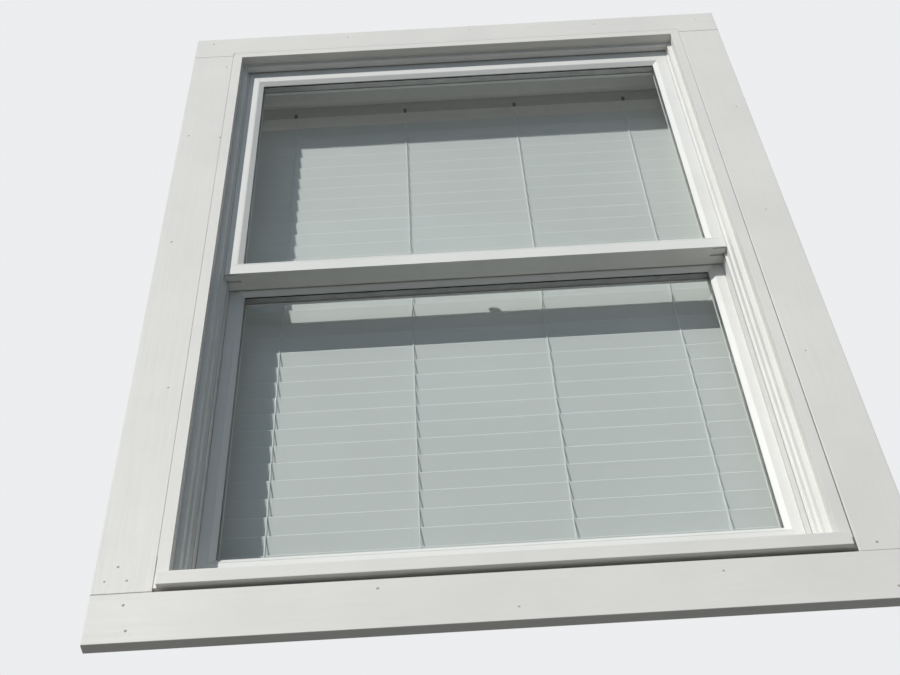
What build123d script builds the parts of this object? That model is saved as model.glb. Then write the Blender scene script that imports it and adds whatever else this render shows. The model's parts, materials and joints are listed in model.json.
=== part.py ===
from build123d import *
import os
from math import cos, radians, sin, tan

# White double-hung sash window in its frame, with flat casing, balances, lock and blind.
# X runs along the wall, Y into the house and Z up. The origin is on the underside of the
# sill, at the middle of the wall plane. A place s is measured in from the frame's edge.

os.makedirs("parts", exist_ok=True)

# Frame and casing boards
frame_w = 1003.0
frame_h = 1524.0
casing_w = 89.0
casing_t = 19.0
head_casing_h = 68.4
head_casing_lap = 11.0
apron_h = 91.0
apron_drop = 5.0
edge_ease = 0.8
paint_gap = 0.8
right_gap_foot = 2.4
board_gap = 0.5

# Sill
nose_reach = 8.7
nose_t = 24.2
nose_lift = 1.1
nose_inset = 5.0
nose_r = 1.6
tongue_t = 6.0
sill_slope = 8.0
dam_t = 10.0
dam_top = 60.0

# Blind stops, jambs and stepped jamb liners
stop_w = 19.0
stop_d = 22.0
jamb_t = 12.0
step_1_s = 28.2
step_2_s = 32.6
liner_s = 36.9
step_1_d = 16.0
step_2_d = 15.0
liner_wall = 1.6
track_d = 24.4
inner_web_d = 9.0
back_gap = 2.0
slot_w = 5.4

# Stepped head stop
head_front_d = 14.0
head_front_drop = 16.0
head_track_d = 40.0
head_track_drop = 8.0
head_back_drop = 14.0

# Sashes
sash_t = 35.0
sash_gap = 0.5
sash_stagger = 43.5
daylight_s = 65.7
meeting_z = 803.0
check_step = 2.0
head_lap = 2.0
lip_chamfer = 4.0
bead_w = 10.9
bead_d = 8.0
bead_flat = 1.2
bead_lip = 1.5
top_rail_h = 41.1
meeting_rail_h = 26.1
check_rail_h = 38.1
bottom_rail_h = 68.0
check_gap = 3.0
sill_gap = 4.0
drip_kerf_w = 1.6
drip_kerf_l = 25.0
drip_kerf_d = 4.0
drip_kerf_y = 3.5

# Sealed glass units
pane_t = 3.0
cavity_t = 12.0
pane_margin = 2.0
spacer_w = 7.0
spacer_inset = 2.0

# Weatherstrips
seal_w = 5.0
seal_seat = 2.0
seal_gap = 0.3
sill_seal_back = 8.0

# Tilt pivots, balance shoes, rods and tubes
pivot_back = 19.5
pivot_w = 4.0
pivot_h = 10.0
pivot_rise = 13.0
pivot_in_s = 22.0
pivot_out_s = 62.0
fit_gap = 0.3
shoe_drop = 3.0
shoe_h = 46.0
shoe_front = 3.0
shoe_back = 16.0
shoe_gap = 0.5
rod_r = 2.25
rod_seat = 10.0
rod_fit = 0.05
tube_s = 24.5
tube_back = 8.5
tube_r = 7.0
tube_bore_r = 5.5
tube_guide_h = 8.0
tube_guide_r = 2.9
tube_overlap = 25.0
tube_clear = 38.0
cap_w = 11.0
cap_h = 12.0
cap_drop = 3.0
rod_top_gap = 2.0
screw_r = 1.7
screw_gap = 0.2
screw_head_r = 3.0
screw_head_t = 2.0
screw_in_s = 2.5

# Tilt latches
latch_tip_s = 29.5
latch_l = 72.0
latch_w = 4.6
latch_h = 8.0
latch_drop = 3.0
latch_travel = 9.0
latch_gap = 0.4
latch_bevel = 2.0
tab_l = 14.0
tab_inset = 2.0
tab_reach = 3.0

# Sash lock
lock_back = 15.0
base_l = 64.0
base_w = 24.0
base_t = 3.0
spindle_r = 4.0
spindle_fit = 0.05
hub_r = 8.0
blade_r = 21.5
blade_w = 20.0
blade_t = 3.0
lever_l = 38.0
lever_w = 9.0
lever_t = 4.0
keeper_front = 27.5
keeper_d = 12.5
keeper_half = 22.0
keeper_open = 14.0
keeper_foot = 8.0
keeper_foot_t = 2.5
keeper_t = 3.0
keeper_clear = 0.7

# Holes that fix the frame to the house
fixing_r = 2.4
driver_slot_h = 14.0
fixing_back = 4.5
fixing_low_z = 250.0
fixing_pitch = 1000.0

# Lining boards and stool on the room side
lining_t = 19.0
stool_t = 12.0
lining_s = 10.0
lining_d = 72.0
lining_drop = 24.0

# Blind
blind_back = 39.5
bracket_wall = 1.2
bracket_l = 22.0
bracket_gap = 0.3
headrail_w = 57.0
headrail_h = 42.0
headrail_wall = 1.0
headrail_lip = 6.0
slat_side_gap = 4.5
slat_w = 50.0
slat_edge_t = 2.0
slat_crown = 0.8
slat_pitch = 40.7
slat_tilt = 16.0
top_slat_drop = 33.9
ladder_count = 4
ladder_pitch = 250.0
ladder_w = 1.5
strip_t = 1.2
rung_t = 1.0
strip_gap = 0.3
ladder_slot = 2.0
ladder_tail = 3.0
blind_rail_w = 50.0
blind_rail_h = 16.0
blind_rail_ease = 3.0
blind_rail_lift = 5.0

# Places that follow from those sizes
half_w = frame_w / 2
outer_x = half_w + casing_w
face_y = -casing_t
nose_y = face_y - nose_reach
stop_back = face_y + stop_d
step_1_y = stop_back + step_1_d
step_2_y = step_1_y + step_2_d
upper_y = step_1_y + sash_gap
lower_y = upper_y + sash_stagger
check_y = lower_y - check_gap
track_web_y = step_2_y + track_d
inner_web_y = lower_y + sash_t + back_gap
frame_back = inner_web_y + inner_web_d
jamb_d = frame_back - stop_back
dam_y = frame_back - dam_t
fixing_y = frame_back - fixing_back
head_z = frame_h - jamb_t
side_top = frame_h - head_casing_lap
sash_s = liner_s + sash_gap
lip_s = step_2_s + sash_gap
lip_d = step_2_d - 2 * sash_gap
bead_s = daylight_s - bead_w
unit_t = 2 * pane_t + cavity_t
lip_y = bead_d + unit_t
upper_glass_z = meeting_z
upper_low_z = upper_glass_z - bead_w - meeting_rail_h
upper_top_z = head_z - head_back_drop + head_lap
upper_glass_h = upper_top_z - top_rail_h - bead_w - upper_glass_z
lower_top_z = meeting_z + check_step
lining_top = frame_h - lining_drop
cap_top = head_z - cap_drop
tube_top = cap_top - cap_h
rod_high = tube_top - rod_top_gap
shoe_lift = pivot_rise - pivot_h - shoe_drop
tube_low = upper_low_z + shoe_lift + shoe_h + tube_clear
rod_low = tube_low + tube_overlap
groove_s = latch_tip_s + latch_l + latch_travel + latch_gap
groove_d = latch_drop + latch_h + latch_gap


def left(s):
    """X of a place s in from the left edge of the frame."""
    return s - half_w


def sill_top(y):
    """Height of the sloped sill at a depth."""
    return nose_lift + nose_t + (y - nose_y) * tan(radians(sill_slope))


def at_depth(y):
    """Upright plane at a depth, which extrudes towards the outside."""
    return Plane.XZ.offset(-y)


def save(piece, label):
    """Name a finished piece and write it."""
    piece.part.label = label
    export_step(piece.part, f"parts/{label}.step")


def save_pair(piece, name, prefix=""):
    """Write a left-hand piece and its mirror image."""
    save(piece, f"{prefix}left_{name}")
    with BuildPart() as twin:
        mirror(piece.part, about=Plane.YZ)
    save(twin, f"{prefix}right_{name}")


def across(outline, half_length):
    """Bar of a Y-Z outline that runs from side to side."""
    with BuildPart() as bar:
        with BuildSketch(Plane.YZ.offset(-half_length)):
            with BuildLine():
                Polyline(*outline, close=True)
            make_face()
        extrude(amount=2 * half_length)
    return bar


# Sill: sloped top, nose set in at its ends, a tongue down to the lower casing board and an
# upstand behind the lower sash
sill_line = [
    (nose_y, sill_top(nose_y)), (dam_y, sill_top(dam_y)), (dam_y, dam_top), (frame_back, dam_top),
]
with BuildPart() as sill:
    with BuildSketch(Plane.YZ.offset(-half_w)):
        with BuildLine():
            Polyline(
                *sill_line, (frame_back, 0), (0, 0), (0, -apron_drop), (-tongue_t, -apron_drop),
                (-tongue_t, nose_lift), (nose_y, nose_lift), close=True,
            )
        make_face()
    extrude(amount=frame_w)
    fillet(edges().filter_by(Axis.X).group_by(Axis.Y)[0], nose_r)
    with Locations((left(0), face_y, nose_lift), (-left(nose_inset), face_y, nose_lift)):
        Box(
            nose_inset, nose_reach, sill_top(face_y) - nose_lift,
            align=(Align.MIN, Align.MAX, Align.MIN), mode=Mode.SUBTRACT,
        )
save(sill, "sill")

below_sill = across([(nose_y, -nose_t), *sill_line, (frame_back, -nose_t)], half_w)
below_sash = across(
    [
        (nose_y, -nose_t), (nose_y, sill_top(nose_y) + sill_gap),
        (frame_back, sill_top(frame_back) + sill_gap), (frame_back, -nose_t),
    ],
    half_w,
)


def casing_board(corners, label):
    """Flat board with eased front edges."""
    with BuildPart() as board:
        with BuildSketch(at_depth(0)):
            with BuildLine():
                Polyline(*corners, close=True)
            make_face()
        extrude(amount=casing_t)
        chamfer(faces().sort_by(Axis.Y)[0].outer_wire().edges(), edge_ease)
    save(board, label)


# Casing: the lower board runs under the sides, the head one is notched over the frame
notch_x = half_w + paint_gap
left_foot = board_gap - apron_drop
casing_board(
    [
        (-outer_x, -apron_h), (outer_x, -apron_h), (outer_x, -apron_drop),
        (-outer_x, -apron_drop),
    ],
    "bottom_casing",
)
casing_board(
    [
        (-outer_x, left_foot), (-notch_x, left_foot), (-notch_x, side_top),
        (-outer_x, side_top),
    ],
    "left_casing",
)
casing_board(
    [
        (half_w + right_gap_foot, -apron_drop), (outer_x, -apron_drop),
        (outer_x, side_top - board_gap), (notch_x, side_top - board_gap),
    ],
    "right_casing",
)
casing_board(
    [
        (-outer_x, side_top), (-notch_x, side_top), (-notch_x, frame_h), (notch_x, frame_h),
        (notch_x, side_top), (outer_x, side_top), (outer_x, frame_h + head_casing_h),
        (-outer_x, frame_h + head_casing_h),
    ],
    "head_casing",
)

# Blind stops round the opening, mitred at the head and standing on the sill
with BuildPart() as head_blind_stop:
    with BuildSketch(at_depth(stop_back)):
        with BuildLine():
            Polyline(
                (-half_w, frame_h), (half_w, frame_h), (half_w - stop_w, frame_h - stop_w),
                (stop_w - half_w, frame_h - stop_w), close=True,
            )
        make_face()
    extrude(amount=stop_d)
save(head_blind_stop, "head_blind_stop")

with BuildPart() as left_blind_stop:
    with BuildSketch(at_depth(stop_back)):
        with BuildLine():
            Polyline(
                (left(0), 0), (left(stop_w), 0), (left(stop_w), frame_h - stop_w),
                (left(0), frame_h), close=True,
            )
        make_face()
    extrude(amount=stop_d)
    add(below_sill.part, mode=Mode.SUBTRACT)
save_pair(left_blind_stop, "blind_stop")

# Jambs, with holes for the screws that fix the frame and for the balances' screws
with BuildPart() as head_jamb:
    with BuildSketch(Plane.XY.offset(head_z)):
        with Locations((0, stop_back)):
            Rectangle(frame_w, jamb_d, align=(Align.CENTER, Align.MIN))
    extrude(amount=jamb_t)
save(head_jamb, "head_jamb")

fixings = [(fixing_y, fixing_low_z), (fixing_y, fixing_low_z + fixing_pitch)]
tube_screws = [
    (front_y + pivot_back + tube_back, cap_top - cap_h / 2) for front_y in (upper_y, lower_y)
]
with BuildPart() as left_jamb:
    with BuildSketch():
        with Locations((left(0), stop_back)):
            Rectangle(jamb_t, jamb_d, align=(Align.MIN, Align.MIN))
    extrude(amount=head_z)
    add(below_sill.part, mode=Mode.SUBTRACT)
    with BuildSketch(Plane.YZ.offset(left(0))):
        with Locations(*fixings):
            Circle(fixing_r)
    extrude(amount=jamb_t, mode=Mode.SUBTRACT)
    with BuildSketch(Plane.YZ.offset(left(screw_in_s))):
        with Locations(*tube_screws):
            Circle(screw_r + rod_fit)
    extrude(amount=jamb_t - screw_in_s, mode=Mode.SUBTRACT)
save_pair(left_jamb, "jamb")

# Stepped jamb liner: a hollow profile with an outer and an inner balance track, slots for
# driving the frame's screws and notches where the balance tubes' caps seat on the jamb
liner_outline = [
    (left(jamb_t), stop_back), (left(step_1_s), stop_back), (left(step_1_s), step_1_y),
    (left(step_2_s), step_1_y), (left(step_2_s), step_2_y), (left(liner_s), step_2_y),
    (left(liner_s), frame_back), (left(jamb_t), frame_back),
]
with BuildPart() as left_jamb_liner:
    with BuildSketch():
        with BuildLine():
            Polyline(*liner_outline, close=True)
        make_face()
        offset(amount=-liner_wall, kind=Kind.INTERSECTION, mode=Mode.SUBTRACT)
        with Locations(*[(left(jamb_t), y) for y in (step_2_y, track_web_y, inner_web_y)]):
            Rectangle(liner_s - jamb_t, liner_wall, align=(Align.MIN, Align.MIN))
        with Locations(*[(left(liner_s), y + pivot_back) for y in (upper_y, lower_y)]):
            Rectangle(2 * liner_wall, slot_w, mode=Mode.SUBTRACT)
    extrude(amount=head_z)
    add(below_sill.part, mode=Mode.SUBTRACT)
    with BuildSketch(Plane.YZ.offset(left(jamb_t))):
        with Locations(*fixings):
            Rectangle(2 * fixing_r + screw_gap, driver_slot_h)
    extrude(amount=liner_s - jamb_t, mode=Mode.SUBTRACT)
    with BuildSketch(Plane.YZ.offset(left(jamb_t))):
        with Locations(*tube_screws):
            Rectangle(cap_w + 2 * fit_gap, cap_h + 2 * cap_drop)
    extrude(amount=liner_wall, mode=Mode.SUBTRACT)
save_pair(left_jamb_liner, "jamb_liner")

# Stepped head stop, cut to the outline of the liners at its ends
with BuildPart() as liner_block:
    with BuildSketch():
        with BuildLine():
            Polyline(*liner_outline, close=True)
        make_face()
    extrude(amount=head_z)
    mirror(about=Plane.YZ)

head_front_y = stop_back + head_front_d
head_track_y = head_front_y + head_track_d
with BuildPart() as head_stop:
    with BuildSketch(Plane.YZ.offset(left(jamb_t))):
        with BuildLine():
            Polyline(
                (stop_back, head_z), (stop_back, head_z - head_front_drop),
                (head_front_y, head_z - head_front_drop), (head_front_y, head_z - head_track_drop),
                (head_track_y, head_z - head_track_drop), (head_track_y, head_z - head_back_drop),
                (frame_back, head_z - head_back_drop), (frame_back, head_z), close=True,
            )
        make_face()
    extrude(amount=frame_w - 2 * jamb_t)
    add(liner_block.part, mode=Mode.SUBTRACT)
save(head_stop, "head_stop")

# Lining boards and stool on the room side
lining_half = half_w - lining_s
opening_half = lining_half - lining_t
with BuildPart() as stool:
    with BuildSketch(Plane.XY.offset(dam_top - stool_t)):
        with Locations((0, frame_back)):
            Rectangle(2 * opening_half, lining_d, align=(Align.CENTER, Align.MIN))
    extrude(amount=stool_t)
save(stool, "stool")

with BuildPart() as head_extension:
    with BuildSketch(Plane.XY.offset(lining_top)):
        with Locations((0, frame_back)):
            Rectangle(2 * lining_half, lining_d, align=(Align.CENTER, Align.MIN))
    extrude(amount=lining_t)
save(head_extension, "head_extension")

with BuildPart() as left_extension:
    with BuildSketch(Plane.XY.offset(dam_top - stool_t)):
        with Locations((-lining_half, frame_back)):
            Rectangle(lining_t, lining_d, align=(Align.MIN, Align.MIN))
    extrude(amount=lining_top - dam_top + stool_t)
save_pair(left_extension, "extension")


# Outlines and cuts that both sashes share
def stile_outline(front_y):
    """Section of a stile: rabbet for the glass in front, chamfered lip behind."""
    back_y = front_y + sash_t
    return [
        (left(sash_s), front_y), (left(bead_s), front_y), (left(bead_s), front_y + lip_y),
        (left(daylight_s), front_y + lip_y), (left(daylight_s), back_y - lip_chamfer),
        (left(daylight_s - lip_chamfer), back_y), (left(sash_s), back_y),
    ]


def rail_outline(front_y, outer_z, glass_z):
    """The same section for a rail, from its outer edge to the edge of the daylight."""
    back_y = front_y + sash_t
    way = 1 if glass_z > outer_z else -1
    return [
        (front_y, outer_z), (front_y, glass_z - way * bead_w),
        (front_y + lip_y, glass_z - way * bead_w), (front_y + lip_y, glass_z),
        (back_y - lip_chamfer, glass_z), (back_y, glass_z - way * lip_chamfer),
        (back_y, outer_z),
    ]


def cut_both_ends(near_s, far_s, y, z, depth, height, y_align=Align.CENTER):
    """Cut a level slot, down from z, in both ends of the piece that is being built."""
    x = half_w - (near_s + far_s) / 2
    with Locations((-x, y, z), (x, y, z)):
        Box(
            far_s - near_s, depth, height, align=(Align.CENTER, y_align, Align.MAX),
            mode=Mode.SUBTRACT,
        )


def cut_latch_grooves(front_y, top_z):
    """Grooves for the tilt latches, with notches behind for their tabs."""
    bolt_y = front_y + pivot_back
    tab_s = latch_tip_s + latch_l - tab_inset
    cut_both_ends(sash_s, groove_s, bolt_y, top_z, latch_w + 2 * latch_gap, groove_d)
    cut_both_ends(
        tab_s - tab_l - latch_gap, tab_s + latch_travel + latch_gap, bolt_y, top_z,
        sash_t - pivot_back, groove_d, Align.MIN,
    )


def cut_pivot_kerfs(front_y, low_z):
    """Kerfs for the pivot bars, open below."""
    cut_both_ends(
        sash_s, pivot_out_s + fit_gap, front_y + pivot_back, low_z + pivot_rise,
        pivot_w + 2 * fit_gap, 2 * pivot_rise,
    )


# Upper sash: the stiles stand on the meeting rail and the top rail fits between them. The
# stiles and the meeting rail have a lip that fills the liners' outer step.
with BuildPart() as upper_left_stile:
    with BuildSketch(Plane.XY.offset(upper_low_z + meeting_rail_h)):
        with BuildLine():
            Polyline(*stile_outline(upper_y), close=True)
        make_face()
        with Locations((left(lip_s), upper_y)):
            Rectangle(bead_s - lip_s, lip_d, align=(Align.MIN, Align.MIN))
    extrude(amount=upper_top_z - upper_low_z - meeting_rail_h)
    cut_latch_grooves(upper_y, upper_top_z)
save_pair(upper_left_stile, "stile", "upper_")

with BuildPart() as upper_stiles:
    add(upper_left_stile.part)
    mirror(about=Plane.YZ)

with BuildPart() as upper_top_rail:
    with BuildSketch(Plane.YZ.offset(left(bead_s))):
        with BuildLine():
            Polyline(
                *rail_outline(upper_y, upper_top_z, upper_glass_z + upper_glass_h), close=True
            )
        make_face()
    extrude(amount=frame_w - 2 * bead_s)
    add(upper_stiles.part, mode=Mode.SUBTRACT)
    cut_latch_grooves(upper_y, upper_top_z)
save(upper_top_rail, "upper_top_rail")

with BuildPart() as upper_meeting_rail:
    with BuildSketch(Plane.YZ.offset(left(sash_s))):
        with BuildLine():
            Polyline(
                (upper_y, upper_low_z), (upper_y, upper_glass_z - bead_w),
                (upper_y + lip_y, upper_glass_z - bead_w), (upper_y + lip_y, upper_glass_z),
                (check_y, upper_glass_z), (check_y, upper_low_z), close=True,
            )
        make_face()
    extrude(amount=frame_w - 2 * sash_s)
    with Locations((0, upper_y, upper_low_z)):
        Box(
            frame_w - 2 * lip_s, lip_d, meeting_rail_h,
            align=(Align.CENTER, Align.MIN, Align.MIN),
        )
    add(upper_stiles.part, mode=Mode.SUBTRACT)
    cut_pivot_kerfs(upper_y, upper_low_z)
    cut_both_ends(
        lip_s, lip_s + drip_kerf_l, upper_y + drip_kerf_y, upper_low_z + drip_kerf_d,
        drip_kerf_w, drip_kerf_d,
    )
save(upper_meeting_rail, "upper_meeting_rail")

# Lower sash: the stiles run full height and their feet are bevelled over the sill
lower_glass_z = sill_top(lower_y) + sill_gap + bottom_rail_h + bead_w
lower_glass_h = lower_top_z - check_rail_h - bead_w - lower_glass_z
lower_foot_z = sill_top(lower_y + pivot_back) + sill_gap
with BuildPart() as lower_left_stile:
    with BuildSketch():
        with BuildLine():
            Polyline(*stile_outline(lower_y), close=True)
        make_face()
    extrude(amount=lower_top_z)
    add(below_sash.part, mode=Mode.SUBTRACT)
    cut_latch_grooves(lower_y, lower_top_z)
    cut_pivot_kerfs(lower_y, lower_foot_z)
save_pair(lower_left_stile, "stile", "lower_")

with BuildPart() as lower_stiles:
    add(lower_left_stile.part)
    mirror(about=Plane.YZ)

seal_z = lower_top_z - check_rail_h / 2
with BuildPart() as lower_check_rail:
    with BuildSketch(Plane.YZ.offset(left(bead_s))):
        with BuildLine():
            Polyline(
                *rail_outline(lower_y, lower_top_z, lower_glass_z + lower_glass_h), close=True
            )
        make_face()
        with Locations((lower_y, seal_z)):
            Rectangle(seal_seat, seal_w, align=(Align.MIN, Align.CENTER), mode=Mode.SUBTRACT)
    extrude(amount=frame_w - 2 * bead_s)
    add(lower_stiles.part, mode=Mode.SUBTRACT)
    cut_latch_grooves(lower_y, lower_top_z)
save(lower_check_rail, "lower_check_rail")

sill_seal_y = lower_y + sill_seal_back
sill_seal_foot = sill_top(sill_seal_y + seal_w / 2)
sill_seal_top = sill_seal_foot + sill_gap + seal_seat
with BuildPart() as lower_bottom_rail:
    with BuildSketch(Plane.YZ.offset(left(bead_s))):
        with BuildLine():
            Polyline(*rail_outline(lower_y, 0, lower_glass_z), close=True)
        make_face()
        with Locations((sill_seal_y, 0)):
            Rectangle(
                seal_w, sill_seal_top, align=(Align.CENTER, Align.MIN), mode=Mode.SUBTRACT
            )
    extrude(amount=frame_w - 2 * bead_s)
    add(lower_stiles.part, mode=Mode.SUBTRACT)
    add(below_sash.part, mode=Mode.SUBTRACT)
    cut_pivot_kerfs(lower_y, lower_foot_z)
save(lower_bottom_rail, "lower_bottom_rail")

# Weatherstrips between the meeting rails and under the lower sash
seal_half = half_w - daylight_s
with BuildPart() as check_rail_seal:
    with BuildSketch(Plane.YZ.offset(-seal_half)):
        with Locations((check_y + seal_gap, seal_z)):
            Rectangle(
                check_gap + seal_seat - seal_gap, seal_w, align=(Align.MIN, Align.CENTER)
            )
    extrude(amount=2 * seal_half)
save(check_rail_seal, "check_rail_seal")

with BuildPart() as sill_seal:
    with BuildSketch(Plane.YZ.offset(-seal_half)):
        with Locations((sill_seal_y, sill_seal_top)):
            Rectangle(
                seal_w, sill_seal_top - sill_seal_foot - seal_gap,
                align=(Align.CENTER, Align.MAX),
            )
    extrude(amount=2 * seal_half)
save(sill_seal, "sill_seal")


# Mitred glazing bead, two panes and the spacer between them, alike in both sashes
def glazing(prefix, front_y, glass_z, glass_h):
    """Glaze one sash."""
    daylight_w = frame_w - 2 * daylight_s
    middle = (0, glass_z + glass_h / 2)
    bevel = bead_w - bead_flat
    with BuildPart() as bead:
        with BuildSketch(at_depth(front_y + bead_d)):
            with Locations(middle):
                Rectangle(daylight_w + 2 * bead_w, glass_h + 2 * bead_w)
                Rectangle(daylight_w, glass_h, mode=Mode.SUBTRACT)
        extrude(amount=bead_d)
        with BuildSketch(at_depth(front_y + bead_d - bead_lip)):
            with Locations(middle):
                Rectangle(daylight_w, glass_h)
        with BuildSketch(at_depth(front_y)):
            with Locations(middle):
                Rectangle(daylight_w + 2 * bevel, glass_h + 2 * bevel)
        loft(mode=Mode.SUBTRACT)
    save(bead, f"{prefix}_glazing_bead")

    grow = 2 * (bead_w - pane_margin)
    for side, back_y in (("outer", bead_d + pane_t), ("inner", bead_d + unit_t)):
        with BuildPart() as pane:
            with BuildSketch(at_depth(front_y + back_y)):
                with Locations(middle):
                    Rectangle(daylight_w + grow, glass_h + grow)
            extrude(amount=pane_t)
        save(pane, f"{prefix}_{side}_pane")

    rim = grow - 2 * spacer_inset
    hollow = rim - 2 * spacer_w
    with BuildPart() as spacer:
        with BuildSketch(at_depth(front_y + bead_d + pane_t + cavity_t)):
            with Locations(middle):
                Rectangle(daylight_w + rim, glass_h + rim)
                Rectangle(daylight_w + hollow, glass_h + hollow, mode=Mode.SUBTRACT)
        extrude(amount=cavity_t)
    save(spacer, f"{prefix}_spacer")


glazing("upper", upper_y, upper_glass_z, upper_glass_h)
glazing("lower", lower_y, lower_glass_z, lower_glass_h)


# Tilt pivots and spiral balances, which run in the tracks behind the jamb liners
def balance(prefix, front_y, foot_z, rod_top):
    """Pivot bars, shoes, rods and tubes of one sash."""
    pivot_y = front_y + pivot_back
    tube_y = pivot_y + tube_back
    bar_z = foot_z + pivot_rise - pivot_h
    shoe_z = foot_z + shoe_lift
    shoe_top = shoe_z + shoe_h
    shoe_s = jamb_t + liner_wall + shoe_gap

    with BuildPart() as bars:
        with Locations((left(pivot_in_s), pivot_y, bar_z)):
            Box(
                pivot_out_s - pivot_in_s, pivot_w, pivot_h,
                align=(Align.MIN, Align.CENTER, Align.MIN),
            )
        mirror(about=Plane.YZ)
    save(bars, f"{prefix}_pivot_bars")

    with BuildPart() as shoes:
        with Locations((left(shoe_s), pivot_y - shoe_front, shoe_z)):
            Box(
                liner_s - liner_wall - shoe_gap - shoe_s, shoe_front + shoe_back, shoe_h,
                align=(Align.MIN, Align.MIN, Align.MIN),
            )
        with Locations((left(pivot_in_s), pivot_y, bar_z)):
            Box(
                liner_s - pivot_in_s, pivot_w + 2 * rod_fit, pivot_h,
                align=(Align.MIN, Align.CENTER, Align.MIN), mode=Mode.SUBTRACT,
            )
        with BuildSketch(Plane.XY.offset(shoe_top - rod_seat)):
            with Locations((left(tube_s), tube_y - rod_r - rod_fit)):
                Rectangle(
                    2 * (rod_r + rod_fit), shoe_back, align=(Align.CENTER, Align.MIN)
                )
        extrude(amount=rod_seat, mode=Mode.SUBTRACT)
        mirror(about=Plane.YZ)
    save(shoes, f"{prefix}_balance_shoes")

    with BuildPart() as rods:
        with BuildSketch(Plane.XY.offset(shoe_top - rod_seat)):
            with Locations((left(tube_s), tube_y)):
                Circle(rod_r)
        extrude(amount=rod_top - shoe_top + rod_seat)
        mirror(about=Plane.YZ)
    save(rods, f"{prefix}_balance_rods")

    with BuildPart() as tube:
        with BuildSketch(Plane.XY.offset(tube_low)):
            with Locations((left(tube_s), tube_y)):
                Circle(tube_r)
                Circle(tube_guide_r, mode=Mode.SUBTRACT)
        extrude(amount=tube_guide_h)
        with BuildSketch(Plane.XY.offset(tube_low + tube_guide_h)):
            with Locations((left(tube_s), tube_y)):
                Circle(tube_r)
                Circle(tube_bore_r, mode=Mode.SUBTRACT)
        extrude(amount=tube_top - tube_low - tube_guide_h)
        with Locations((left(jamb_t), tube_y, tube_top)):
            Box(
                tube_s + tube_r - jamb_t, cap_w, cap_h,
                align=(Align.MIN, Align.CENTER, Align.MIN),
            )
        with BuildSketch(Plane.YZ.offset(left(jamb_t))):
            with Locations((tube_y, cap_top - cap_h / 2)):
                Circle(screw_r + screw_gap)
        extrude(amount=tube_s + tube_r - jamb_t, mode=Mode.SUBTRACT)
    save_pair(tube, "balance_tube", f"{prefix}_")


balance("upper", upper_y, upper_low_z, rod_high)
balance("lower", lower_y, lower_foot_z, rod_low)

with BuildPart() as balance_screws:
    with BuildSketch(Plane.YZ.offset(left(screw_in_s))):
        with Locations(*tube_screws):
            Circle(screw_r)
    extrude(amount=tube_s + tube_r - screw_in_s)
    with BuildSketch(Plane.YZ.offset(left(tube_s + tube_r))):
        with Locations(*tube_screws):
            RegularPolygon(screw_head_r, 6)
    extrude(amount=screw_head_t)
    mirror(about=Plane.YZ)
save(balance_screws, "balance_screws")


# Tilt latches in the top corners of both sashes
def tilt_latch(prefix, front_y, top_z):
    """Bolt whose tip holds the sash in its track, with a tab behind to draw it."""
    bolt_z = top_z - latch_drop - latch_h
    with BuildPart() as latch:
        with Locations((left(latch_tip_s), front_y + pivot_back, bolt_z)):
            Box(latch_l, latch_w, latch_h, align=(Align.MIN, Align.CENTER, Align.MIN))
        chamfer(edges().filter_by(Axis.Y).group_by(Axis.X)[0], latch_bevel)
        with Locations((left(latch_tip_s + latch_l - tab_inset), front_y + pivot_back, bolt_z)):
            Box(
                tab_l, sash_t - pivot_back + tab_reach, latch_h,
                align=(Align.MAX, Align.MIN, Align.MIN),
            )
    save_pair(latch, "latch", f"{prefix}_")


tilt_latch("upper", upper_y, upper_top_z)
tilt_latch("lower", lower_y, lower_top_z)

# Sash lock: base and cam on the lower sash, keeper on the upper one
spindle_y = lower_y + lock_back
blade_z = lower_top_z + base_t + fit_gap
with BuildPart() as lock_base:
    with BuildSketch(Plane.XY.offset(lower_top_z)):
        with Locations((0, spindle_y)):
            SlotOverall(base_l, base_w)
            Circle(spindle_r + spindle_fit, mode=Mode.SUBTRACT)
    extrude(amount=base_t)
save(lock_base, "lock_base")

with BuildPart() as lock_cam:
    with BuildSketch(Plane.XY.offset(lower_top_z + fit_gap)):
        with Locations((0, spindle_y)):
            Circle(spindle_r)
    extrude(amount=base_t)
    with BuildSketch(Plane.XY.offset(blade_z)):
        with Locations((0, spindle_y)):
            Circle(blade_r)
            Rectangle(blade_w, blade_r, align=(Align.CENTER, Align.MIN), mode=Mode.INTERSECT)
            Circle(hub_r)
    extrude(amount=blade_t)
    with BuildSketch(Plane.XY.offset(blade_z + blade_t)):
        with Locations((-lever_l / 2, spindle_y)):
            SlotCenterToCenter(lever_l, lever_w)
        with Locations((0, spindle_y)):
            Circle(hub_r)
    extrude(amount=lever_t)
save(lock_cam, "lock_cam")

bridge_z = blade_z + blade_t + keeper_clear
with BuildPart() as lock_keeper:
    with BuildSketch(at_depth(upper_y + keeper_front + keeper_d)):
        with Locations((0, upper_glass_z)):
            Rectangle(
                2 * keeper_half, bridge_z + keeper_t - upper_glass_z,
                align=(Align.CENTER, Align.MIN),
            )
            Rectangle(
                2 * (keeper_half + keeper_foot), keeper_foot_t, align=(Align.CENTER, Align.MIN)
            )
            Rectangle(
                2 * keeper_open, bridge_z - upper_glass_z, align=(Align.CENTER, Align.MIN),
                mode=Mode.SUBTRACT,
            )
    extrude(amount=keeper_d)
save(lock_keeper, "lock_keeper")

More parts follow.
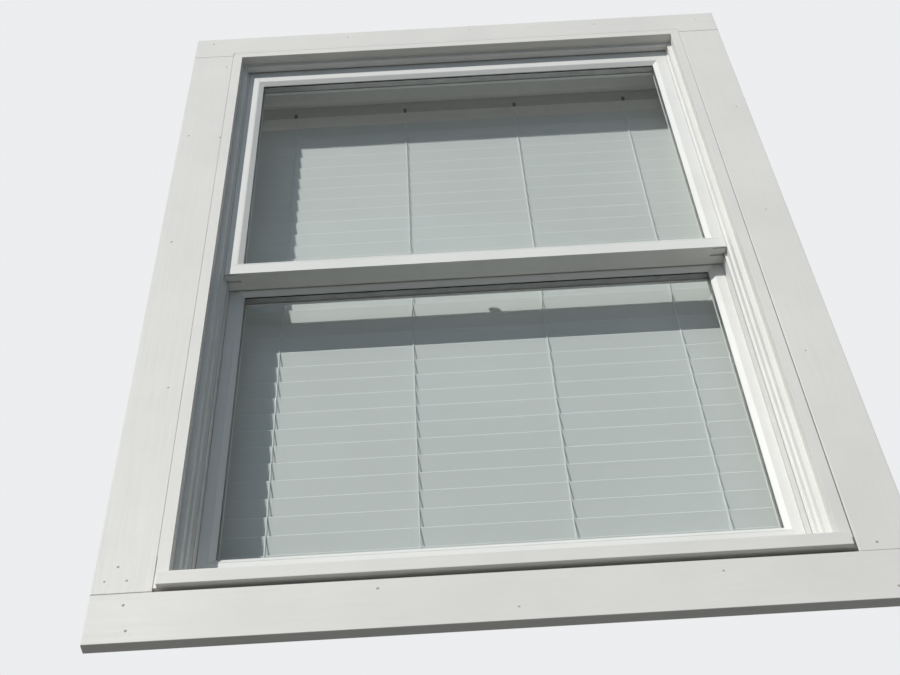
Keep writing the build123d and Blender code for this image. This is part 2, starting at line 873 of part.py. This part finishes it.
# Blind: headrail in two end brackets, closed slats on ladders, and a bottom rail
slat_y = frame_back + blind_back
tilt_sin = sin(radians(slat_tilt))
tilt_cos = cos(radians(slat_tilt))
slat_half = opening_half - slat_side_gap
slat_t = slat_edge_t + slat_crown
headrail_half = opening_half - bracket_wall - bracket_gap
headrail_top = lining_top - bracket_wall - bracket_gap
headrail_low = headrail_top - headrail_h
blind_rail_low = dam_top + blind_rail_lift
blind_rail_top = blind_rail_low + blind_rail_h
ladder_xs = [ladder_pitch * (i - (ladder_count - 1) / 2) for i in range(ladder_count)]
strip_y = (slat_w * tilt_sin + slat_t * tilt_cos) / 2 + strip_gap + strip_t / 2
rung_half = strip_y - strip_t / 2
rung_rise = rung_half / tan(radians(slat_tilt))
rung_top = slat_t / 2 / tilt_sin
rung_low = rung_top + rung_t / tilt_sin
top_slat_z = headrail_low - top_slat_drop
slat_count = int((top_slat_z - blind_rail_top - rung_rise - rung_low) / slat_pitch) + 1
slat_zs = [top_slat_z - slat_pitch * row for row in range(slat_count)]

with BuildPart() as blind_headrail:
    with BuildSketch(Plane.YZ.offset(-headrail_half)):
        with Locations((slat_y, headrail_low)):
            Rectangle(headrail_w, headrail_h, align=(Align.CENTER, Align.MIN))
        with Locations((slat_y, headrail_low + headrail_wall)):
            Rectangle(
                headrail_w - 2 * headrail_wall, headrail_h - 2 * headrail_wall,
                align=(Align.CENTER, Align.MIN), mode=Mode.SUBTRACT,
            )
        with Locations((slat_y, headrail_top)):
            Rectangle(
                headrail_w - 2 * headrail_lip, 2 * headrail_wall,
                align=(Align.CENTER, Align.MAX), mode=Mode.SUBTRACT,
            )
    extrude(amount=2 * headrail_half)
    with Locations(
        *[(x, slat_y + side * strip_y, headrail_low) for x in ladder_xs for side in (-1, 1)]
    ):
        Box(ladder_w + ladder_slot, strip_t + ladder_slot, 2 * headrail_wall, mode=Mode.SUBTRACT)
save(blind_headrail, "blind_headrail")

bracket_z = (headrail_low + headrail_top) / 2
with BuildPart() as blind_brackets:
    with Locations((-opening_half, slat_y, bracket_z)):
        Box(
            bracket_l, headrail_w + 2 * (bracket_gap + bracket_wall),
            headrail_h + 2 * (bracket_gap + bracket_wall),
            align=(Align.MIN, Align.CENTER, Align.CENTER),
        )
    with Locations((bracket_wall - opening_half, slat_y, bracket_z)):
        Box(
            bracket_l, headrail_w + 2 * bracket_gap, headrail_h + 2 * bracket_gap,
            align=(Align.MIN, Align.CENTER, Align.CENTER), mode=Mode.SUBTRACT,
        )
    mirror(about=Plane.YZ)
save(blind_brackets, "blind_brackets")

with BuildPart() as one_slat:
    with BuildSketch(Plane.YZ.offset(-slat_half)):
        with BuildLine():
            Polyline(
                (-slat_w / 2, slat_edge_t - slat_t / 2), (-slat_w / 2, -slat_t / 2),
                (slat_w / 2, -slat_t / 2), (slat_w / 2, slat_edge_t - slat_t / 2),
            )
            ThreePointArc(
                (slat_w / 2, slat_edge_t - slat_t / 2), (0, slat_t / 2),
                (-slat_w / 2, slat_edge_t - slat_t / 2),
            )
        make_face()
    extrude(amount=2 * slat_half)

with BuildPart() as blind_slats:
    with Locations(*[Location((0, slat_y, z), (slat_tilt - 90, 0, 0)) for z in slat_zs]):
        add(one_slat.part)
save(blind_slats, "blind_slats")

# Ladders: front and back strips joined by a bar on the headrail's floor, and a rung that
# carries each slat
strip_h = headrail_low + headrail_wall + ladder_tail - blind_rail_top
with BuildPart() as blind_ladders:
    for x in ladder_xs:
        with BuildSketch(Plane.YZ.offset(x - ladder_w / 2)):
            with Locations(*[(slat_y + side * strip_y, blind_rail_top) for side in (-1, 1)]):
                Rectangle(strip_t, strip_h, align=(Align.CENTER, Align.MIN))
            with Locations((slat_y, headrail_low + headrail_wall)):
                Rectangle(2 * strip_y, strip_t, align=(Align.CENTER, Align.MIN))
        extrude(amount=ladder_w)
save(blind_ladders, "blind_ladders")

with BuildPart() as blind_rungs:
    for x in ladder_xs:
        with BuildSketch(Plane.YZ.offset(x - ladder_w / 2)):
            for z in slat_zs:
                with BuildLine():
                    Polyline(
                        (slat_y - rung_half, z + rung_rise - rung_top),
                        (slat_y + rung_half, z - rung_rise - rung_top),
                        (slat_y + rung_half, z - rung_rise - rung_low),
                        (slat_y - rung_half, z + rung_rise - rung_low), close=True,
                    )
                make_face()
        extrude(amount=ladder_w)
save(blind_rungs, "blind_rungs")

with BuildPart() as blind_bottom_rail:
    with BuildSketch(Plane.YZ.offset(-slat_half)):
        with Locations((slat_y, blind_rail_low + blind_rail_h / 2)):
            Rectangle(blind_rail_w, blind_rail_h)
        chamfer(vertices(), blind_rail_ease)
    extrude(amount=2 * slat_half)
save(blind_bottom_rail, "blind_bottom_rail")
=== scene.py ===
import json
import math
import random

import bmesh
import bpy
from mathutils import Euler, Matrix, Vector


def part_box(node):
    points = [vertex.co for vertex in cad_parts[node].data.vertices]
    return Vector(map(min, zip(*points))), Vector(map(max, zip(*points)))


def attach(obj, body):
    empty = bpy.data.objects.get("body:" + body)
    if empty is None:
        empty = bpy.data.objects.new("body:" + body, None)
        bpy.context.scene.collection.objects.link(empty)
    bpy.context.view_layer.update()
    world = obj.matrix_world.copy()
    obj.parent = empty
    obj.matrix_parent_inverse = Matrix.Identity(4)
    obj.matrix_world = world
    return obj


# White double-hung sash window with an inside blind, seen from below on the outside.
# Lengths are in metres. X runs along the wall, Y into the house and Z up.

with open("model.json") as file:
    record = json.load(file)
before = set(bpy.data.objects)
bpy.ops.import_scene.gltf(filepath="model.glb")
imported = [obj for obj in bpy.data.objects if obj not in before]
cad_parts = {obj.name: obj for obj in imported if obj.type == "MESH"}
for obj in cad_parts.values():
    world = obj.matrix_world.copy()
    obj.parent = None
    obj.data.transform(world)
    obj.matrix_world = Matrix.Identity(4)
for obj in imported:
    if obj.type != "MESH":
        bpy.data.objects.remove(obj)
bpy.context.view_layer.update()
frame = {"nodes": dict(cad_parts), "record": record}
nodes = frame["nodes"]
MM = 0.001

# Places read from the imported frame
casing_face_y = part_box("bottom_casing")[0].y
left_casing_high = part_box("left_casing")[1]
left_stop_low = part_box("left_blind_stop")[0]
sill_top_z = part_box("sill")[1].z
headrail_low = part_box("blind_headrail")[0]


# Node trees
class Shade:
    """A material's node tree, with short calls for the nodes that are used again."""

    def __init__(self, name):
        self.material = bpy.data.materials.new(name)
        self.material.use_nodes = True
        self.tree = self.material.node_tree
        self.surface = self.tree.nodes["Principled BSDF"]
        self.output = self.tree.nodes["Material Output"]
        self.place = self.tree.nodes.new("ShaderNodeTexCoord").outputs["Object"]

    def set(self, **values):
        """Constant values on the shader's own sockets."""
        for name, value in values.items():
            self.surface.inputs[name.replace("_", " ")].default_value = value
        return self

    def link(self, source, target):
        self.tree.links.new(source, target)

    def stretched(self, scale):
        """Object coordinates scaled by a different factor along each axis."""
        node = self.tree.nodes.new("ShaderNodeMapping")
        node.inputs["Scale"].default_value = scale
        self.link(self.place, node.inputs["Vector"])
        return node.outputs["Vector"]

    def noise(self, vector, scale, detail, roughness, distortion=0.0):
        node = self.tree.nodes.new("ShaderNodeTexNoise")
        node.inputs["Scale"].default_value = scale
        node.inputs["Detail"].default_value = detail
        node.inputs["Roughness"].default_value = roughness
        node.inputs["Distortion"].default_value = distortion
        self.link(vector, node.inputs["Vector"])
        return node.outputs["Fac"]

    def ramp(self, value, low_stop, high_stop):
        """Grey by value. Each stop is a place from 0 to 1 and a grey."""
        node = self.tree.nodes.new("ShaderNodeValToRGB")
        for mark, (place, grey) in zip(node.color_ramp.elements, (low_stop, high_stop)):
            mark.position = place
            mark.color = (grey, grey, grey, 1.0)
        self.link(value, node.inputs["Fac"])
        return node.outputs["Color"]

    def mix(self, factor, first, second):
        """Colour between two, each of them a colour or another node's output."""
        node = self.tree.nodes.new("ShaderNodeMix")
        node.data_type = "RGBA"
        for name, value in (("Factor", factor), ("A", first), ("B", second)):
            socket = [s for s in node.inputs if s.name == name and s.enabled][0]
            if isinstance(value, bpy.types.NodeSocket):
                self.link(value, socket)
            else:
                socket.default_value = (*value, 1.0)
        return [s for s in node.outputs if s.enabled][0]

    def math(self, operation, first, second):
        node = self.tree.nodes.new("ShaderNodeMath")
        node.operation = operation
        for socket, value in zip(node.inputs, (first, second)):
            if isinstance(value, bpy.types.NodeSocket):
                self.link(value, socket)
            else:
                socket.default_value = value
        return node.outputs[0]

    def bump(self, height, strength, distance):
        """Relief on top of any relief that is already there."""
        node = self.tree.nodes.new("ShaderNodeBump")
        node.inputs["Strength"].default_value = strength
        node.inputs["Distance"].default_value = distance
        self.link(height, node.inputs["Height"])
        normal = self.surface.inputs["Normal"]
        if normal.is_linked:
            self.link(normal.links[0].from_socket, node.inputs["Normal"])
        self.link(node.outputs["Normal"], normal)

    def colour(self, socket):
        self.link(socket, self.surface.inputs["Base Color"])

    def roughness(self, value, low, high):
        """Roughness between two limits, by a value."""
        node = self.tree.nodes.new("ShaderNodeMapRange")
        node.inputs["To Min"].default_value = low
        node.inputs["To Max"].default_value = high
        self.link(value, node.inputs["Value"])
        self.link(node.outputs["Result"], self.surface.inputs["Roughness"])


# Colours, each as a base and a shade that it drifts to
PAINT = ((0.735, 0.715, 0.68), (0.665, 0.65, 0.62))
VINYL = ((0.745, 0.74, 0.715), (0.69, 0.685, 0.66))
SLAT = ((0.67, 0.672, 0.66), (0.63, 0.63, 0.618))
# Whiter colour painted on the slats' faces that look up and out, a painted highlight
SLAT_HIGHLIGHT = (0.90, 0.90, 0.88)
CORD = ((0.70, 0.72, 0.70), (0.84, 0.85, 0.83))
ENAMEL = ((0.50, 0.50, 0.46), (0.45, 0.45, 0.42))
# The spacer's grey is darker than bare aluminium, partly its own colour and partly painted
# shade, so it reads as a dark line along the edges of the panes
SPACER = ((0.36, 0.36, 0.35), (0.29, 0.29, 0.285))
ZINC = ((0.62, 0.62, 0.60), (0.50, 0.50, 0.49))
BRASS = ((0.66, 0.60, 0.48), (0.52, 0.46, 0.36))
NYLON = ((0.70, 0.70, 0.67), (0.62, 0.62, 0.60))
SEAL = ((0.22, 0.22, 0.215), (0.15, 0.15, 0.15))
DARK_MARK = ((0.05, 0.05, 0.05), (0.03, 0.03, 0.03))
FILLER = ((0.40, 0.385, 0.36), (0.30, 0.29, 0.275))
GLASS_TINT = (0.965, 0.975, 0.975, 1.0)
GLASS_SHADOW = (0.955, 0.968, 0.963, 1.0)
GLASS_IOR = 1.1

# Scale of the grain across and along a piece, by the axis that the piece runs along
GRAIN = {"x": (0.9, 16.0, 16.0), "z": (16.0, 16.0, 0.9)}
DRAW_LINES = 2.6
DIRT_SHARE = 0.72
# Height of the normal above which a slat face gets the painted highlight
SLAT_HIGHLIGHT_TILT = -0.2
ROUGH_SPREAD = 0.14


def painted_wood(name, along, base, shade):
    """Brushed house paint over smooth boards: faint streaks along the board and weathering."""
    s = Shade(name)
    streaks = s.noise(
        s.stretched(GRAIN[along]), scale=9.0, detail=6.0, roughness=0.62, distortion=0.3
    )
    blotches = s.noise(s.place, scale=3.2, detail=5.0, roughness=0.6)
    specks = s.noise(s.place, scale=260.0, detail=2.0, roughness=0.5)
    tone = s.mix(s.ramp(blotches, (0.35, 0.0), (0.72, 1.0)), base, shade)
    tone = s.mix(s.ramp(streaks, (0.46, 0.0), (0.78, 0.42)), tone, shade)
    dirt = s.ramp(specks, (0.69, 0.0), (0.76, 0.35))
    s.colour(s.mix(dirt, tone, [DIRT_SHARE * v for v in shade]))
    s.roughness(streaks, low=0.42, high=0.62)
    s.bump(streaks, strength=0.22, distance=0.0012)
    pores = s.noise(s.place, scale=420.0, detail=3.0, roughness=0.6)
    s.bump(pores, strength=0.08, distance=0.0006)
    return s.set(Specular_IOR_Level=0.38).material


def vinyl(name, along, base, shade):
    """White extruded vinyl: smooth, with a slight sheen, fine draw lines and chalky patches."""
    s = Shade(name)
    fine = tuple(DRAW_LINES * v for v in GRAIN[along])
    lines = s.noise(s.stretched(fine), scale=11.0, detail=3.0, roughness=0.5)
    patches = s.noise(s.place, scale=5.5, detail=5.0, roughness=0.62)
    s.colour(s.mix(s.ramp(patches, (0.38, 0.0), (0.75, 1.0)), base, shade))
    s.roughness(patches, low=0.34, high=0.52)
    s.bump(lines, strength=0.10, distance=0.0006)
    return s.set(Specular_IOR_Level=0.42).material


def glass(name):
    """Clear float glass with a faint green tint, which lets the lamps through."""
    s = Shade(name)
    ripple = s.noise(s.stretched((1.4, 1.4, 0.9)), scale=2.2, detail=1.0, roughness=0.4)
    s.bump(ripple, strength=0.06, distance=0.002)
    s.set(
        Base_Color=GLASS_TINT, Roughness=0.0, IOR=GLASS_IOR, Transmission_Weight=1.0,
        Specular_IOR_Level=0.5,
    )
    through = s.tree.nodes.new("ShaderNodeBsdfTransparent")
    through.inputs["Color"].default_value = GLASS_SHADOW
    rays = s.tree.nodes.new("ShaderNodeLightPath")
    either = s.math("MAXIMUM", rays.outputs["Is Shadow Ray"], rays.outputs["Is Diffuse Ray"])
    blend = s.tree.nodes.new("ShaderNodeMixShader")
    s.link(either, blend.inputs[0])
    s.link(s.surface.outputs[0], blend.inputs[1])
    s.link(through.outputs[0], blend.inputs[2])
    s.link(blend.outputs[0], s.output.inputs["Surface"])
    return s.material


def slat_paint(name):
    """Off-white slats with a fine embossed grain along them, and a painted highlight in a
    whiter colour on the faces of their rounded edges that look up and out.
    """
    s = Shade(name)
    grain = s.noise(s.stretched((2.0, 90.0, 90.0)), scale=5.0, detail=4.0, roughness=0.6)
    drift = s.noise(s.place, scale=2.6, detail=3.0, roughness=0.5)
    faces = s.mix(s.ramp(drift, (0.3, 0.0), (0.75, 1.0)), *SLAT)
    normal = s.tree.nodes.new("ShaderNodeNewGeometry").outputs["Normal"]
    split = s.tree.nodes.new("ShaderNodeSeparateXYZ")
    s.link(normal, split.inputs[0])
    # Painted highlight: faces that look up and out, the slats' rounded edges, get the whiter
    # colour
    highlight_up = s.math("GREATER_THAN", split.outputs["Z"], SLAT_HIGHLIGHT_TILT)
    highlight_out = s.math("LESS_THAN", split.outputs["Y"], 0.0)
    s.colour(s.mix(s.math("MULTIPLY", highlight_up, highlight_out), faces, SLAT_HIGHLIGHT))
    s.roughness(grain, low=0.42, high=0.6)
    s.bump(grain, strength=0.12, distance=0.0005)
    return s.set(Specular_IOR_Level=0.4).material


def ladder_cord(name):
    """Braided polyester cord."""
    s = Shade(name)
    weave = s.tree.nodes.new("ShaderNodeTexWave")
    weave.wave_type = "BANDS"
    weave.bands_direction = "DIAGONAL"
    weave.inputs["Scale"].default_value = 420.0
    weave.inputs["Distortion"].default_value = 1.5
    s.link(s.place, weave.inputs["Vector"])
    s.colour(s.mix(weave.outputs["Fac"], *CORD))
    s.bump(weave.outputs["Fac"], strength=0.5, distance=0.0004)
    return s.set(Roughness=0.85).material


def coated(name, base, shade, rough):
    """Baked enamel or bare metal with a little unevenness, as a node tree."""
    s = Shade(name)
    mottle = s.noise(s.place, scale=38.0, detail=4.0, roughness=0.6)
    s.colour(s.mix(s.ramp(mottle, (0.35, 0.0), (0.75, 1.0)), base, shade))
    s.roughness(mottle, low=rough, high=rough + ROUGH_SPREAD)
    pits = s.noise(s.place, scale=900.0, detail=2.0, roughness=0.5)
    s.bump(pits, strength=0.05, distance=0.0003)
    return s


def bare_metal(name, base, shade, rough):
    """Uncoated metal."""
    return coated(name, base, shade, rough).set(Metallic=1.0).material


def moulded(name, base, shade, rough):
    """Moulded plastic or rubber with a fine texture."""
    s = coated(name, base, shade, rough)
    texture = s.noise(s.place, scale=1500.0, detail=2.0, roughness=0.6)
    s.bump(texture, strength=0.12, distance=0.0003)
    return s.set(Specular_IOR_Level=0.4).material


finish = {
    "wood_x": painted_wood("house_paint_level", "x", *PAINT),
    "wood_z": painted_wood("house_paint_upright", "z", *PAINT),
    "vinyl_x": vinyl("white_vinyl_level", "x", *VINYL),
    "vinyl_z": vinyl("white_vinyl_upright", "z", *VINYL),
    "glass": glass("clear_glass"),
    "slat": slat_paint("blind_slat"),
    "ladder": ladder_cord("ladder_cord"),
    "blind_metal": coated("blind_enamel", *ENAMEL, rough=0.36).material,
    "spacer": bare_metal("spacer_metal", *SPACER, rough=0.34),
    "steel": bare_metal("zinc_steel", *ZINC, rough=0.30),
    "lock": bare_metal("lock_metal", *BRASS, rough=0.28),
    "nylon": moulded("white_nylon", *NYLON, rough=0.42),
    "seal": moulded("grey_seal", *SEAL, rough=0.72),
    "dark_mark": coated("dark_mark_finish", *DARK_MARK, rough=0.45).material,
    "filler": moulded("nail_filler", *FILLER, rough=0.8),
}
slots = {row["node"]: row["material_slot"] for row in frame["record"]["subparts"]}


def finish_of(node):
    """Finish for a CAD node: wood and vinyl have their grain along the piece."""
    slot = slots[node]
    low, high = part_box(node)
    along = "z" if high.z - low.z > high.x - low.x else "x"
    kind = {"painted_wood": f"wood_{along}", "white_vinyl": f"vinyl_{along}"}.get(slot, slot)
    return finish[kind]


# Rounding of the edges, by material slot
EDGE = {
    "painted_wood": 0.35 * MM, "white_vinyl": 0.6 * MM, "blind_metal": 0.3 * MM,
    "slat": 0.9 * MM, "lock": 0.3 * MM,
}
EDGE_STEPS = 3
EDGE_MIN_DEG = 40
JOINED_WITHIN = 0.005 * MM

for name, node in nodes.items():
    node.data.materials.clear()
    node.data.materials.append(finish_of(name))
    width = EDGE.get(slots[name])
    if width:
        weld = node.modifiers.new("joined_corners", "WELD")
        weld.merge_threshold = JOINED_WITHIN
        bevel = node.modifiers.new("eased_edges", "BEVEL")
        bevel.width = width
        bevel.segments = EDGE_STEPS
        bevel.limit_method = "ANGLE"
        bevel.angle_limit = math.radians(EDGE_MIN_DEG)
        bevel.use_clamp_overlap = True


def new_piece(name, solid, material):
    """Object in the scene from a finished bmesh, with one finish."""
    mesh = bpy.data.meshes.new(name)
    solid.to_mesh(mesh)
    solid.free()
    mesh.materials.append(material)
    piece = bpy.data.objects.new(name, mesh)
    bpy.context.scene.collection.objects.link(piece)
    return piece


# Filled nail heads in the casing, as places across and up in millimetres
NAILS = (
    (-573, 18), (-541, 18), (-557, 44), (-540, -26), (-531, -71), (-514, 1465), (-505, 1177),
    (-566, 824), (-527, 421), (-571, 1190), (533, 10), (550, 823), (529, 424), (567, 1186),
    (-182, -22), (14, -68), (306, -26), (541, -70), (-246, 1570), (33, 1574), (318, 1569),
    (549, 1566), (-552, 1572),
)
NAIL_R = 2.1 * MM
NAIL_R_SPREAD = (0.75, 1.15)
NAIL_RISE = 0.35 * MM
NAIL_RINGS = (1.0, 0.6)
NAIL_SIDES = 14
NAIL_WOBBLE = (0.9, 1.08)
random.seed(7)


def nail_dome(mesh, x, z, y):
    """Low uneven dome of filler over a nail head, facing the outside."""
    radius = NAIL_R * random.uniform(*NAIL_R_SPREAD)
    rings = []
    for share in NAIL_RINGS:
        height = y - NAIL_RISE * (1.0 - share * share)
        ring = []
        for i in range(NAIL_SIDES):
            angle = 2 * math.pi * i / NAIL_SIDES
            reach = share * radius * random.uniform(*NAIL_WOBBLE)
            place = (x + reach * math.cos(angle), height, z + reach * math.sin(angle))
            ring.append(mesh.verts.new(place))
        rings.append(ring)
    outer, inner = rings
    for i in range(NAIL_SIDES):
        j = (i + 1) % NAIL_SIDES
        mesh.faces.new((outer[i], outer[j], inner[j], inner[i]))
    mesh.faces.new(inner)


filler = bmesh.new()
for x, z in NAILS:
    nail_dome(filler, x * MM, z * MM, casing_face_y)
nails = new_piece("nail_filler", filler, finish["filler"])
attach(nails, "frame")

# Small trim
TRIM_EDGE = 0.3 * MM
TRIM_EDGE_STEPS = 2


def block(name, low, high, material):
    """Small box between two corners that rides on the frame."""
    low, high = Vector(low), Vector(high)
    size = high - low
    solid = bmesh.new()
    bmesh.ops.create_cube(solid, size=1.0)
    for vert in solid.verts:
        vert.co = low + Vector((vert.co[i] + 0.5) * size[i] for i in range(3))
    piece = new_piece(name, solid, material)
    bevel = piece.modifiers.new("eased_edges", "BEVEL")
    bevel.width = TRIM_EDGE
    bevel.segments = TRIM_EDGE_STEPS
    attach(piece, "frame")


# Dark marks on the front of the blind's headrail, over its ladders, made as thin black blocks
DARK_MARK_W = 7 * MM
DARK_MARK_H = 15 * MM
DARK_MARK_T = 1.6 * MM
LADDER_X = (-375 * MM, -125 * MM, 125 * MM, 375 * MM)
for i, x in enumerate(LADDER_X):
    block(
        f"headrail_dark_mark_{i + 1}",
        (x - DARK_MARK_W / 2, headrail_low.y - DARK_MARK_T, headrail_low.z),
        (x + DARK_MARK_W / 2, headrail_low.y, headrail_low.z + DARK_MARK_H),
        finish["dark_mark"],
    )

# Paint that fills the joint between the left casing board and the frame
JOINT_FRONT = 0.5 * MM
JOINT_BACK = 5 * MM
block(
    "left_joint_filler",
    (left_casing_high.x, casing_face_y + JOINT_FRONT, sill_top_z),
    (left_stop_low.x, casing_face_y + JOINT_BACK, left_casing_high.z),
    finish["wood_z"],
)

# Floor and background
FLOOR_Z = -1.72
FLOOR_HALF = 9.0
FLOOR_CELLS = 8
PALE = (0.86, 0.86, 0.85)
PALE_DRIFT = 0.985
BOUNCE = (0.18, 0.18, 0.172)
BACKDROP = (0.84, 0.85, 0.86, 1.0)
SKY = (0.50, 0.70, 0.95, 1.0)
SKY_STRENGTH = 0.13


def looked_at(tree):
    """One where a surface or the world is seen directly, in gloss or through glass."""
    paths = tree.nodes.new("ShaderNodeLightPath")
    most = paths.outputs["Is Camera Ray"]
    for ray in ("Is Glossy Ray", "Is Transmission Ray"):
        larger = tree.nodes.new("ShaderNodeMath")
        larger.operation = "MAXIMUM"
        tree.links.new(most, larger.inputs[0])
        tree.links.new(paths.outputs[ray], larger.inputs[1])
        most = larger.outputs[0]
    return most


def pale_surface(name):
    """Floor finish that shows the pale background colour and keeps the object's shadow."""
    s = Shade(name)
    drift = s.noise(s.place, scale=0.8, detail=2.0, roughness=0.5)
    pale = s.mix(s.ramp(drift, (0.3, 0.0), (0.7, 1.0)), PALE, [PALE_DRIFT * v for v in PALE])
    s.colour(s.mix(looked_at(s.tree), BOUNCE, pale))
    return s.set(Roughness=0.9, Specular_IOR_Level=0.15).material


ground = bmesh.new()
bmesh.ops.create_grid(ground, x_segments=FLOOR_CELLS, y_segments=FLOOR_CELLS, size=FLOOR_HALF)
floor = new_piece("floor", ground, pale_surface("pale_floor"))
floor.location.z = FLOOR_Z

world = bpy.data.worlds.new("studio")
bpy.context.scene.world = world
world.use_nodes = True
tree = world.node_tree
sky = tree.nodes["Background"]
sky.inputs["Color"].default_value = SKY
sky.inputs["Strength"].default_value = SKY_STRENGTH
backdrop = tree.nodes.new("ShaderNodeBackground")
backdrop.inputs["Color"].default_value = BACKDROP
chosen = tree.nodes.new("ShaderNodeMixShader")
tree.links.new(looked_at(tree), chosen.inputs[0])
tree.links.new(sky.outputs[0], chosen.inputs[1])
tree.links.new(backdrop.outputs[0], chosen.inputs[2])
tree.links.new(chosen.outputs[0], tree.nodes["World Output"].inputs["Surface"])


def sun_lamp(name, travel, strength, spread_deg, colour):
    """Lamp whose light travels in one direction, softened by its spread."""
    lamp = bpy.data.lights.new(name, "SUN")
    lamp.energy = strength
    lamp.angle = math.radians(spread_deg)
    lamp.color = colour
    holder = bpy.data.objects.new(name, lamp)
    holder.rotation_euler = Vector(travel).to_track_quat("-Z", "Y").to_euler()
    bpy.context.scene.collection.objects.link(holder)


# Lamps: a key from high on the left, as in the photograph, with weak fills from the front,
# from the left and, for the room side, from behind
sun_lamp(
    "key", travel=(0.64, 1.0, -0.76), strength=3.18, spread_deg=0.8, colour=(1.0, 0.985, 0.955)
)
sun_lamp(
    "front_fill", travel=(0.05, 1.0, -0.45), strength=0.30, spread_deg=60.0,
    colour=(0.62, 0.83, 1.0),
)
sun_lamp(
    "left_fill", travel=(1.0, 0.3, -0.25), strength=0.38, spread_deg=45.0,
    colour=(0.98, 0.985, 1.0),
)
sun_lamp(
    "room_fill", travel=(-0.35, -1.0, -0.4), strength=1.2, spread_deg=50.0,
    colour=(1.0, 0.98, 0.95),
)

# Camera: low in front of the window, looking up, tilted a little as the photograph is
CAMERA_PLACE = (-0.0743, -1.5505, -1.2550)
PITCH_DEG = 49.00
YAW_DEG = -0.626
ROLL_DEG = -3.707

camera_data = bpy.data.cameras.new("camera")
camera_data.sensor_width = 36.0
camera_data.lens = 54.93
camera_data.clip_start = 0.05
camera_data.clip_end = 60.0
camera = bpy.data.objects.new("camera", camera_data)
camera.location = CAMERA_PLACE
pitch, yaw, roll = math.radians(PITCH_DEG), math.radians(YAW_DEG), math.radians(ROLL_DEG)
aim = Euler((math.pi / 2 + pitch, 0.0, yaw)).to_matrix()
tilt = Euler((0.0, 0.0, roll)).to_matrix()
camera.rotation_euler = (aim @ tilt).to_euler()
bpy.context.scene.collection.objects.link(camera)
bpy.context.scene.camera = camera
bpy.context.scene.view_settings.view_transform = "Standard"
